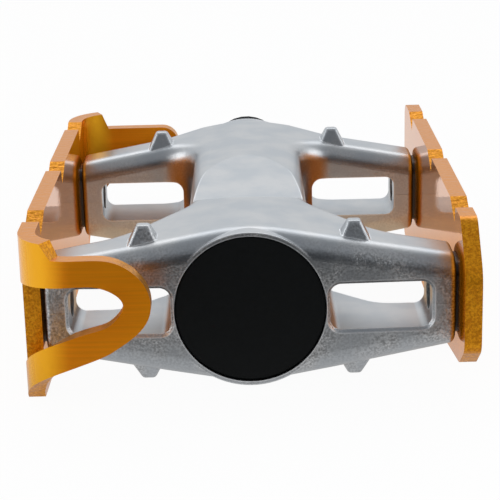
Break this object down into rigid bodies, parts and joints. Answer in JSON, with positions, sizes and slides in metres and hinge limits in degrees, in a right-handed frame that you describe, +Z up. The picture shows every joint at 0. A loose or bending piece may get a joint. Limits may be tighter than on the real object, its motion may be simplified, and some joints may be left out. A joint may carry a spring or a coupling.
{
  "type": "bicycle track pedal",
  "caption": "Bicycle pedal with a waisted cast body, toothed plate cages, strap slots and a spindle turning on loose balls.",
  "frame": {"origin": "centre of the spindle's shoulder, where the thread starts and the crank's face lies", "axes": "+Y along the spindle towards the crank, +Z up, X across the two cages with the flat rear cage at +X"},
  "size_m": [0.0658, 0.1085, 0.0256],
  "materials": {
    "cast_aluminium": "tumbled and polished light alloy casting",
    "gold_anodised": "gold anodised rolled sheet with plain cut edges",
    "black_plastic": "moulded matte black plastic",
    "black_steel": "turned steel with a black oxide finish",
    "bearing_steel": "hardened and polished bearing steel",
    "zinc_steel": "bright zinc plated steel",
    "seal_rubber": "black nitrile rubber"
  },
  "bodies": {
    "pedal": {"body": "cast_aluminium", "front_cage": "gold_anodised", "rear_cage": "gold_anodised", "dust_cap": "black_plastic", "outboard_cup": "bearing_steel", "inboard_cup": "bearing_steel", "inboard_seal": "seal_rubber", "front_outboard_screw": "zinc_steel", "front_inboard_screw": "zinc_steel", "rear_outboard_screw": "zinc_steel", "rear_inboard_screw": "zinc_steel"},
    "spindle_assembly": {"spindle": "black_steel", "outboard_cone": "bearing_steel", "lock_washer": "zinc_steel", "lock_nut": "zinc_steel"},
    "outboard_ball_ring": {"outboard_ball_01": "bearing_steel", "outboard_ball_02": "bearing_steel", "outboard_ball_03": "bearing_steel", "outboard_ball_04": "bearing_steel", "outboard_ball_05": "bearing_steel", "outboard_ball_06": "bearing_steel", "outboard_ball_07": "bearing_steel", "outboard_ball_08": "bearing_steel", "outboard_ball_09": "bearing_steel", "outboard_ball_10": "bearing_steel", "outboard_ball_11": "bearing_steel", "outboard_ball_12": "bearing_steel"},
    "inboard_ball_ring": {"inboard_ball_01": "bearing_steel", "inboard_ball_02": "bearing_steel", "inboard_ball_03": "bearing_steel", "inboard_ball_04": "bearing_steel", "inboard_ball_05": "bearing_steel", "inboard_ball_06": "bearing_steel", "inboard_ball_07": "bearing_steel", "inboard_ball_08": "bearing_steel", "inboard_ball_09": "bearing_steel", "inboard_ball_10": "bearing_steel", "inboard_ball_11": "bearing_steel", "inboard_ball_12": "bearing_steel", "inboard_ball_13": "bearing_steel"}
  },
  "joints": [
    {"name": "spindle_spin", "type": "hinge", "parent": "pedal", "child": "spindle_assembly", "pos_m": [0, -0.0514, 0], "axis": [0, 1, 0], "continuous": true},
    {"name": "outboard_ball_orbit", "type": "hinge", "parent": "pedal", "child": "outboard_ball_ring", "pos_m": [0, -0.0794, 0], "axis": [0, 1, 0], "continuous": true},
    {"name": "inboard_ball_orbit", "type": "hinge", "parent": "pedal", "child": "inboard_ball_ring", "pos_m": [0, -0.0174, 0], "axis": [0, 1, 0], "continuous": true}
  ],
  "couplings": [
    {"joint": "outboard_ball_orbit", "follows": "spindle_spin", "ratio": 0.37793},
    {"joint": "inboard_ball_orbit", "follows": "spindle_spin", "ratio": 0.38824}
  ]
}
